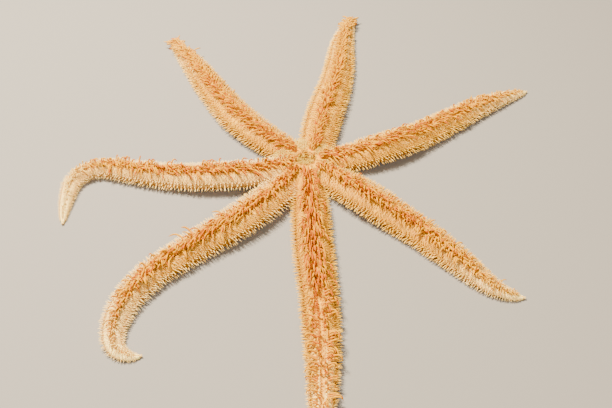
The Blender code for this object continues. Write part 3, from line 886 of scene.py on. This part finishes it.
# Rows of spines on each plate, from the groove outwards. Across is a share of half width, on the upper
# or lower side. Out and lift give the direction, length and radius are in mm, and wander is how far
# from its place a spine may stand along the arm, in mm.
SPINE_ROWS = (
    # across, upper, out, lift, length, radius, wander, sides, rings
    (0.25, True, -0.35, 1.00, 1.6, 0.30, 0.15, 5, 4),
    (0.34, True, 0.10, 1.00, 1.8, 0.32, 0.2, 5, 4),
    (0.43, True, 0.60, 0.85, 1.9, 0.32, 0.25, 5, 4),
    (0.5, True, 0.8, 0.7, 1.8, 0.28, 0.5, 4, 3),
    (0.545, True, 0.35, 1.0, 1.5, 0.35, 1.0, 4, 3),
    (0.59, True, 0.35, 1.0, 1.5, 0.35, 1.0, 4, 3),
    (0.635, True, 0.35, 1.0, 1.5, 0.35, 1.0, 4, 3),
    (0.68, True, 0.4, 1.0, 1.6, 0.34, 1.0, 4, 3),
    (0.725, True, 0.5, 0.9, 1.8, 0.33, 1.0, 4, 3),
    (0.77, True, 0.7, 0.75, 2.3, 0.3, 1.0, 4, 3),
    (0.81, True, 0.75, 0.68, 2.6, 0.32, 0.6, 4, 3),
    (0.85, True, 0.8, 0.6, 3.4, 0.36, 0.5, 4, 3),
    (0.89, True, 0.85, 0.5, 3.7, 0.4, 0.4, 4, 3),
    (0.92, True, 0.90, 0.42, 4.0, 0.46, 0.35, 5, 5),
    (0.965, True, 1.00, 0.16, 4.7, 0.55, 0.35, 5, 5),
    (0.985, False, 1.00, -0.10, 4.9, 0.57, 0.35, 5, 5),
    (0.95, False, 1.00, -0.14, 4.0, 0.50, 0.3, 5, 4),
    (0.88, False, 1.00, 0.05, 1.6, 0.42, 0.3, 5, 3),
    (0.78, False, 1.00, 0.05, 1.1, 0.42, 0.3, 5, 3),
)
FRINGE_START = 0.9
LONG_SPINE, LEAST_SPINE = 4, 0.3
SPINE_SUNK = 0.5 * MM
SPINE_TAPER = ((0, 1.0), (0.3, 0.95), (0.75, 0.62), (1, 0.14))
FIRST_PLATE, LAST_PLATE, LAST_SPINE = 10 * MM, 2.2 * MM, 2 * MM
LONG_CLEARANCE, SHORT_CLEARANCE = 1.2 * MM, -0.3 * MM
KNOB_ROW = 0.10
KNOB_PALENESS = -0.15

# Share of half width, paleness of the spines there
PALENESS = (
    (0.25, 0.6), (0.43, 0.6), (0.52, 0.5), (0.60, 0.85), (0.70, 0.85), (0.78, 0.55), (0.90, 0.6), (0.97, 0.8),
)


def straight_spines(growth, uv, root, direction, length, radius, bend, reference, sides, rings, kind):
    """Tapered spines from their roots along a direction, bent a little towards another."""
    direction = unit(direction)
    u = np.linspace(0, 1, rings)
    reach = (length + SPINE_SUNK)[:, None, None]
    centres = (root - direction * SPINE_SUNK)[:, None, :] + direction[:, None, :] * reach * u[None, :, None]
    centres = centres + bend[:, None, :] * u[None, :, None] ** 2
    radii = radius[:, None] * table(SPINE_TAPER, u)[None, :]
    centres[..., 2] = np.maximum(centres[..., 2], radii + 0.1 * MM)
    growth.add(centres, radii, reference, sides, uv, rng.uniform(0, 1, len(root)), kind)


def add_spine_row(growth, name, number, side, row, plates, waver):
    """One row of spines along one side of an arm, clear of the other arms."""
    arm = ARMS[name]
    across, upper, out, lift, length, radius, wander, sides, rings = SPINE_ROWS[row]
    around = round_at(across, upper)
    stagger = 0.5 * (row % 2) * (across < FRINGE_START) * arm["length"] * np.gradient(plates).mean()
    share = plates + (rng.normal(0, wander * MM, len(plates)) + stagger) / arm["length"]
    root, normal = surface(name, share, around, side)
    clearance = LONG_CLEARANCE if length > LONG_SPINE else SHORT_CLEARANCE
    keep = (other_arms_clearance(name, root) > clearance) & (share < 1 - LAST_SPINE / arm["length"])
    share, root, normal, tilt = share[keep], root[keep], normal[keep], waver[keep]
    count = len(share)
    size = size_at(name, share, LEAST_SPINE)
    left, ahead = directions(name, share)
    left = left * side
    if across < FRINGE_START and upper:
        direction = normal * lift + left * out
    else:
        direction = left * out + UP * lift
    direction = direction + ahead * (rng.normal(0.06, 0.16, count) + tilt)[:, None]
    direction = direction + UP * rng.normal(0, 0.09, count)[:, None]
    reach = length * MM * size * rng.uniform(0.78, 1.12, count)
    bend = left * (0.12 * reach)[:, None] + UP * (0.05 * reach)[:, None]
    uv = strip_uv(number, share, around, side)
    pale = table(PALENESS, across) + arm["pale"] + 0.5 * distal(share)
    straight_spines(growth, uv, root, direction, reach, radius * MM * size, bend, ahead, sides, rings, pale)


def add_groove_knobs(growth, name, number, side, plates):
    """Blunt knobs along the bottom of the groove, which show where it lies open."""
    arm = ARMS[name]
    share = plates + rng.normal(0, 1.2 * MM, len(plates)) / arm["length"]
    count = len(share)
    open_here = table(arm["open"], share)
    size = size_at(name, share, LEAST_SPINE)
    left, ahead = directions(name, share)
    left = left * side
    root, _ = surface(name, share, round_at(KNOB_ROW), side)
    direction = left * 0.8 + ahead * rng.normal(0, 0.5, (count, 1)) + UP * 0.5
    reach = rng.uniform(0.6, 3.2, count) * MM * size
    root = root + UP * (1.6 * MM * size * (open_here - 0.7))[:, None]
    radius = rng.uniform(0.35, 0.75, count) * MM * size
    uv = strip_uv(number, share, KNOB_ROW, side)
    straight_spines(growth, uv, root, direction, reach, radius, 0 * root, ahead, 6, 4, KNOB_PALENESS)


def grow_spines(name, number):
    """Combs of spines on every plate, longer towards the edge, where they make a fringe."""
    arm = ARMS[name]
    growth = Growth()
    plates = plate_shares()
    plates = plates[(plates * arm["length"] > FIRST_PLATE) & (plates < 1 - LAST_PLATE / arm["length"])]
    for side in (1, -1):
        waver = 0.18 * drift(plates, 9, 50 * number + side + 1)
        for row in range(len(SPINE_ROWS)):
            add_spine_row(growth, name, number, side, row, plates, waver)
    for side in (1, -1):
        add_groove_knobs(growth, name, number, side, plates)
    return growth.build(f"spines_{name}", spine_finish)


DISC_SPACING = 1.05 * MM
DISC_PALENESS = 0.45
DISC_TILT = ((0.6, 0.05), (0.8, 0.35), (0.95, 1.1), (1.0, 2.0))
DISC_UV_WIDTH = 0.7


def grow_disc_spines():
    """Spinelets on the parts of the disc between the arms."""
    grid = np.arange(-HUB_RADIUS, HUB_RADIUS, DISC_SPACING)
    axes = np.meshgrid(grid, grid)
    x, y = (axis.ravel() + rng.uniform(-0.4, 0.4, axis.size) * DISC_SPACING for axis in axes)
    radius = np.hypot(x, y)
    inside = (radius > WELL_RADIUS + 0.6 * MM) & (radius < 0.985 * HUB_RADIUS)
    x, y, radius = x[inside], y[inside], radius[inside]
    height = table(HUB_TOP, radius / HUB_RADIUS) * HUB_HEIGHT
    tilt = table(DISC_TILT, radius / HUB_RADIUS)

    # Bare of arms, where the disc is at least as high as the nearest arm
    arm, share, across = locate(np.stack([x, y, height], -1))
    flank = np.interp(np.abs(across), SECTION[UPPER_SIDE, 0], SECTION[UPPER_SIDE, 1], right=0)
    high = body_at(arm, share, "high") * flank + body_at(arm, share, "arch")
    bare = (height > high - 0.15 * MM) & (np.abs(across) > 0.27)
    x, y, radius, height, tilt = (values[bare] for values in (x, y, radius, height, tilt))
    count = len(x)

    outward = np.stack([x / radius, y / radius, np.zeros(count)], -1)
    rim = np.clip(1 - (radius - WELL_RADIUS) / (3 * MM), 0, 1)
    direction = outward * (0.25 + tilt - 1.5 * rim)[:, None] + UP + rng.normal(0, 0.28, (count, 3))
    length = rng.uniform(1.5, 2.6, count) * (1 + 0.5 * rim) * MM
    thickness = rng.uniform(0.26, 0.36, count) * MM
    root = np.stack([x, y, height], -1)
    uv = root[:, :2] / DISC_UV_WIDTH + (SPARE_STRIP, 0.8)
    bend = outward * (0.15 * length)[:, None]
    growth = Growth()
    straight_spines(
        growth, uv, root, direction, length, thickness, bend, np.cross(outward, UP), 5, 4, DISC_PALENESS)
    return growth.build("disc_spines", disc_finish)


# Mouth and tips

# Each jaw is a tapered body, from its root at the well's edge to its point over the mouth: distance
# from the middle, height and radius in mm. Its spines stand in rows: distance, height and length in mm.
CORNER_AIM = 45 * MM
JAW_BODY = (
    (9.6, 9.6, 2.5), (8.4, 10.2, 2.45), (6.8, 10.5, 2.0), (5.4, 10.3, 1.5), (4.5, 9.7, 1.0), (4.1, 9.1, 0.3),
)
JAW_ROWS = ((4.4, 10.2, 3.9), (5.8, 11.2, 3.6), (7.4, 12.0, 3.2), (9.2, 12.6, 2.8))
JAW_SPINE_RADII = 0.42 * MM * np.array([1, 0.95, 0.8, 0.55, 0.14])

# The membrane: distance from the middle and height in mm, with a ring of folds
MEMBRANE_DISH = ((0.5, 6.6), (1.6, 6.9), (3.0, 7.7), (6.0, 7.6), (9.2, 7.2))
MEMBRANE_BOTTOM = 6.1 * MM
MEMBRANE_RINGS, MEMBRANE_SIDES = 16, 84
MEMBRANE_UV_WIDTH = 0.4
FOLDS, FOLD_RING, FOLD_SPREAD, FOLD_HEIGHT = 14, 3.0, 2.6, 0.28

# The plate at an arm's tip: distance along it and radius in mm, and its spinelets
TIP_HEIGHT = 1.35 * MM
TIP_BODY = ((-0.9, 0.7), (-0.5, 1.1), (0.1, 1.3), (0.8, 1.15), (1.4, 0.8), (1.8, 0.2))
TIP_SPINE_RADII = np.array([[0.26, 0.24, 0.17, 0.05]]) * MM


def corner_angles():
    """Direction of the space that follows each arm counter-clockwise."""
    angles = []
    for here, name in enumerate(NAMES):
        pair = (name, NAMES[(here + 1) % len(NAMES)])
        x, y = (sum(along(arm, key, CORNER_AIM / ARMS[arm]["length"]) for arm in pair) for key in ("x", "y"))
        angles.append(math.atan2(y, x))
    return angles


def mouth_uv():
    return np.array([[SPARE_STRIP, 0.2]]) + rng.uniform(-0.03, 0.03, (1, 2))


def grow_jaws():
    """Seven jaws between the arms, with combs of spines that point over the mouth."""
    growth = Growth()
    distance, height, thickness = np.array(JAW_BODY).T[:, :, None] * MM
    for angle in corner_angles():
        out = np.array([math.cos(angle), math.sin(angle), 0])
        side = np.array([-math.sin(angle), math.cos(angle), 0])
        centre = distance * out + height * UP
        growth.add(centre[None], thickness.T, side[None], 12, mouth_uv(), np.array([0.3]))
        for row, (radius, top, lengths) in enumerate(JAW_ROWS):
            count = 3 + row
            for step in range(count):
                across = (step - (count - 1) / 2) * (0.9 + 0.12 * row) * MM
                root = out * radius * MM + side * across + UP * (top - 0.9) * MM
                lean = -out * (1.0 - 0.18 * row) + side * (across / (3.2 * MM)) + UP * (0.35 + 0.28 * row)
                lean = unit(lean + rng.normal(0, 0.10, 3))
                length = lengths * MM * rng.uniform(0.85, 1.15)
                u = np.linspace(0, 1, len(JAW_SPINE_RADII))[:, None]
                centre = root + lean * length * u + UP * 0.4 * MM * u**2
                reference = np.cross(lean, [0.3, 0.2, 1.0])[None]
                growth.add(
                    centre[None], JAW_SPINE_RADII[None], reference, 6, mouth_uv(), rng.uniform(0, 1, 1))
    return growth.build("jaws", disc_finish)


def make_membrane():
    """Puckered skin across the mouth, thick enough to be a solid."""
    dish = np.array(MEMBRANE_DISH)
    angle = circle_angles(MEMBRANE_SIDES)
    radius = np.linspace(dish[0, 0], dish[-1, 0], MEMBRANE_RINGS)[:, None] * MM
    ring = np.exp(-((radius / MM - FOLD_RING) / FOLD_SPREAD) ** 2)
    fold = np.cos(angle * FOLDS)[None, :] * ring * FOLD_HEIGHT * MM
    height = table(MEMBRANE_DISH, radius / MM) * MM + fold
    top = np.stack([radius * np.cos(angle), radius * np.sin(angle), height], -1)
    bottom = top[::-1].copy()
    bottom[..., 2] = MEMBRANE_BOTTOM
    points = np.concatenate([top, bottom])
    return ringed("membrane", points, membrane_finish, 1 / MEMBRANE_UV_WIDTH, (SPARE_STRIP, 0.5))


def grow_tip_plates():
    """A small plate with a fan of spinelets at each arm's tip."""
    growth = Growth()
    share = np.array([1.0])
    steps, radii = np.array(TIP_BODY).T * MM
    for number, name in enumerate(NAMES):
        left, ahead = directions(name, share)
        start, _ = surface(name, share, 1.0, 1)
        middle = start + UP * TIP_HEIGHT
        centres = middle[:, None, :] + ahead[:, None, :] * steps[None, :, None]
        uv = strip_uv(number, share, 0.1, 1)
        growth.add(centres, radii[None], left, 10, uv, np.array([0.7]), 1.0)
        for turn in np.linspace(-1.2, 1.2, 5):
            lean = unit(ahead[0] * 0.9 + left[0] * math.sin(turn) * 0.8 + UP * math.cos(turn) * 0.7)
            u = np.linspace(0, 1, TIP_SPINE_RADII.shape[1])[:, None]
            centre = middle[0] + ahead[0] * 0.6 * MM + lean * (0.6 + 1.5 * u) * MM
            reference = np.cross(lean, [0.2, 0.3, 1.0])[None]
            growth.add(centre[None], TIP_SPINE_RADII, reference, 5, uv, np.array([0.9]), 1.0)
    return growth.build("tip_plates", spine_finish)


# Camera, floor and light

FOCAL_PIXELS = 880.0
FRAME_PIXELS = 612.0
SENSOR = 36.0
VIEW_ELEVATION = math.radians(43.0)
VIEW_DISTANCE = 775.4 * MM
AIM = (0.48 * MM, -47.36 * MM)
KEY_COLOUR = (1.0, 0.94, 0.84)
SOFT_COLOUR = (1.0, 0.96, 0.90)
WORLD_STRENGTH = 0.22
FLOOR_HALF = 3.0


def add_camera():
    camera = bpy.data.cameras.new("camera")
    camera.sensor_width = SENSOR
    camera.lens = FOCAL_PIXELS / FRAME_PIXELS * SENSOR
    camera.clip_start = 0.01
    obj = add_object("camera", camera)
    back, up = VIEW_DISTANCE * math.cos(VIEW_ELEVATION), VIEW_DISTANCE * math.sin(VIEW_ELEVATION)
    obj.location = (AIM[0], AIM[1] - back, up)
    obj.rotation_euler = (math.pi / 2 - VIEW_ELEVATION, 0, 0)
    bpy.context.scene.camera = obj


def area_light(name, location, size, power, colour):
    """A round lamp that shines at the middle of the floor."""
    light = bpy.data.lights.new(name, "AREA")
    light.shape = "DISK"
    light.size = size
    light.energy = power
    light.color = colour
    obj = add_object(name, light)
    obj.location = location
    obj.rotation_euler = (-obj.location).to_track_quat("-Z", "Y").to_euler()


def add_lights():
    area_light("key", (-0.60, 0.42, 1.45), size=0.42, power=158, colour=KEY_COLOUR)
    area_light("fill", (0.2, -1.4, 1.2), size=0.9, power=28, colour=SOFT_COLOUR)
    world = bpy.data.worlds.new("studio")
    world.use_nodes = True
    background = world.node_tree.nodes["Background"]
    background.inputs["Color"].default_value = (*SOFT_COLOUR, 1)
    background.inputs["Strength"].default_value = WORLD_STRENGTH
    bpy.context.scene.world = world


def add_floor():
    verts = np.array([(-1, -1, 0), (1, -1, 0), (1, 1, 0), (-1, 1, 0)]) * FLOOR_HALF
    nodes = Nodes("floor")
    nodes.feed(nodes.shader, {"Base Color": FLOOR_GREY, "Roughness": 0.85})
    floor = mesh_object("floor", verts, np.arange(4), np.array([4]), verts[:, :2], nodes.material)


skin_finish = skin_material()
feet_finish = feet_material()
spine_finish = spine_material("spines", PEACH_LIGHT, CREAM, WHITISH, BONE)
disc_finish = spine_material("disc_spines", STRAW, STRAW, STRAW_PALE, STRAW_PALE)
membrane_finish = membrane_material()

add_camera()
add_lights()
add_floor()

nodes_of = list(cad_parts)
skin = make_skin()
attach(skin, "root")
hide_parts(*[node for node in nodes_of if node == "disc" or node.startswith("arm_")])
for number, name in enumerate(NAMES):
    for piece in (grow_feet(name, number), grow_spines(name, number)):
        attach(piece, "root")

disc_spines = grow_disc_spines()
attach(disc_spines, "root")

jaws = grow_jaws()
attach(jaws, "root")
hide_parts(*[node for node in nodes_of if node.startswith("jaw_")])

membrane = make_membrane()
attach(membrane, "root")
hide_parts("mouth")

tip_plates = grow_tip_plates()
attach(tip_plates, "root")
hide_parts(*[node for node in nodes_of if node.startswith("eye_plate_")])
